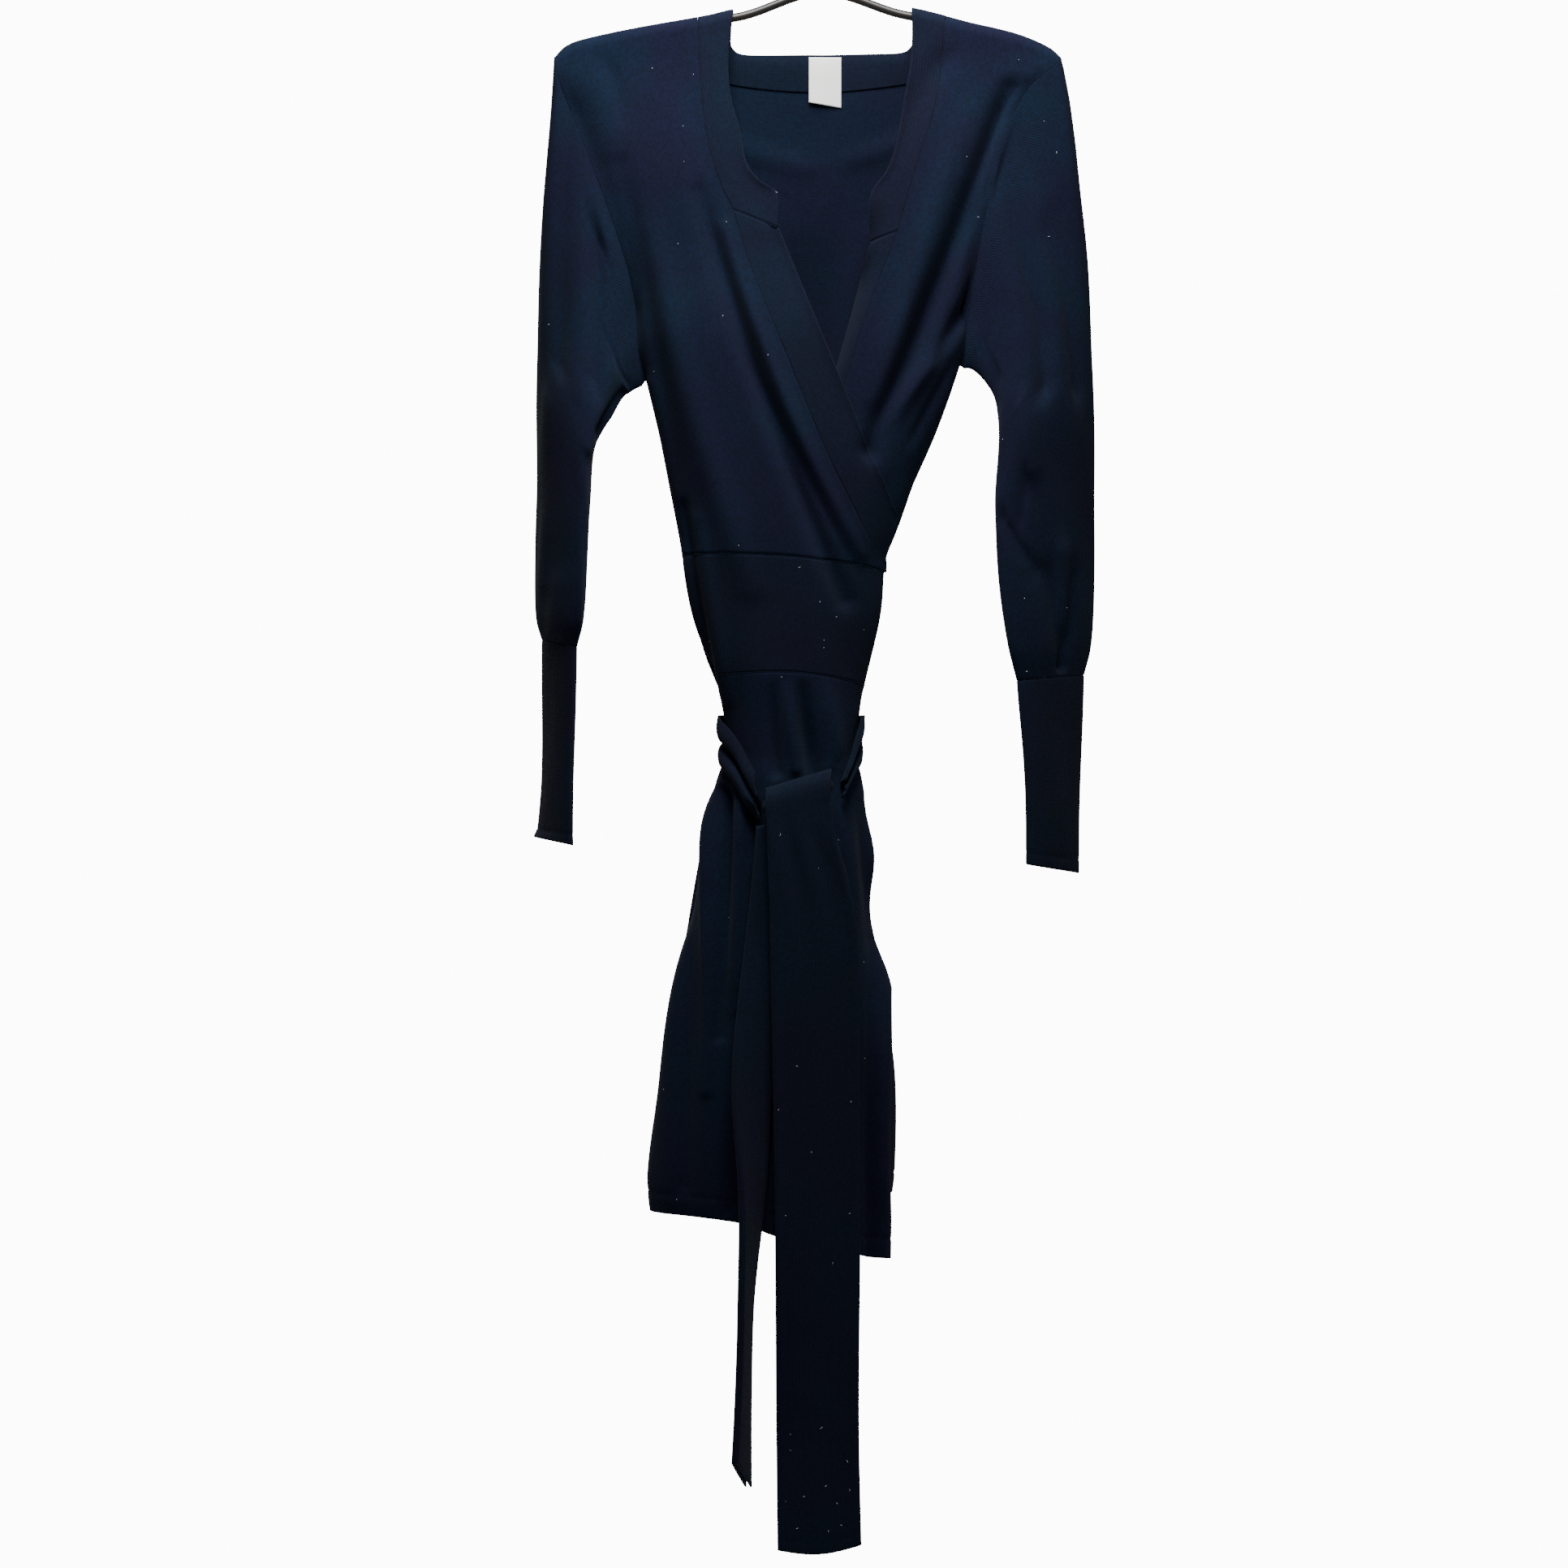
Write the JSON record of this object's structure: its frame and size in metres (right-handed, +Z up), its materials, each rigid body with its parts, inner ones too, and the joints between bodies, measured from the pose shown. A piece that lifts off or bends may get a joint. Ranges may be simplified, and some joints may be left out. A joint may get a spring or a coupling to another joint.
{
  "type": "wrap dress on hanger",
  "caption": "Long-sleeved knitted wrap dress with a waistband and a knotted tie belt, hanging flat on a slim hanger with a wire hook.",
  "frame": {"origin": "inside top of the hanger's hook, where a rail carries it", "axes": "+Z up, -Y the wearer's front, +X to the right as seen from the front"},
  "size_m": [0.4172, 0.1517, 1.2369],
  "materials": {
    "navy_knit": "soft matt fine-gauge jersey knit",
    "navy_rib": "matt firm fine rib knit of bands, cuffs and belt",
    "label_satin": "blank white woven satin ribbon",
    "hanger_bar": "dark smooth moulded plastic",
    "hook_wire": "bright plated steel wire"
  },
  "bodies": {
    "root": {"bodice_back": "navy_knit", "bodice_front_over": "navy_knit", "bodice_front_under": "navy_knit", "neck_band_left": "navy_rib", "neck_band_right": "navy_rib", "neck_band_back": "navy_rib", "wrap_band_over": "navy_rib", "wrap_band_under": "navy_rib", "waistband_back": "navy_rib", "waistband_over": "navy_rib", "waistband_under": "navy_rib", "skirt_back": "navy_knit", "skirt_over": "navy_knit", "skirt_under": "navy_knit", "sleeve_left_front": "navy_knit", "sleeve_left_back": "navy_knit", "sleeve_right_front": "navy_knit", "sleeve_right_back": "navy_knit", "cuff_left_front": "navy_rib", "cuff_left_back": "navy_rib", "cuff_right_front": "navy_rib", "cuff_right_back": "navy_rib", "belt_back": "navy_rib", "belt_left": "navy_rib", "belt_right": "navy_rib", "belt_knot": "navy_rib", "belt_tail_main": "navy_rib", "belt_tail_second": "navy_rib", "label": "label_satin", "hanger_bar": "hanger_bar", "hanger_hook": "hook_wire"}
  },
  "joints": []
}
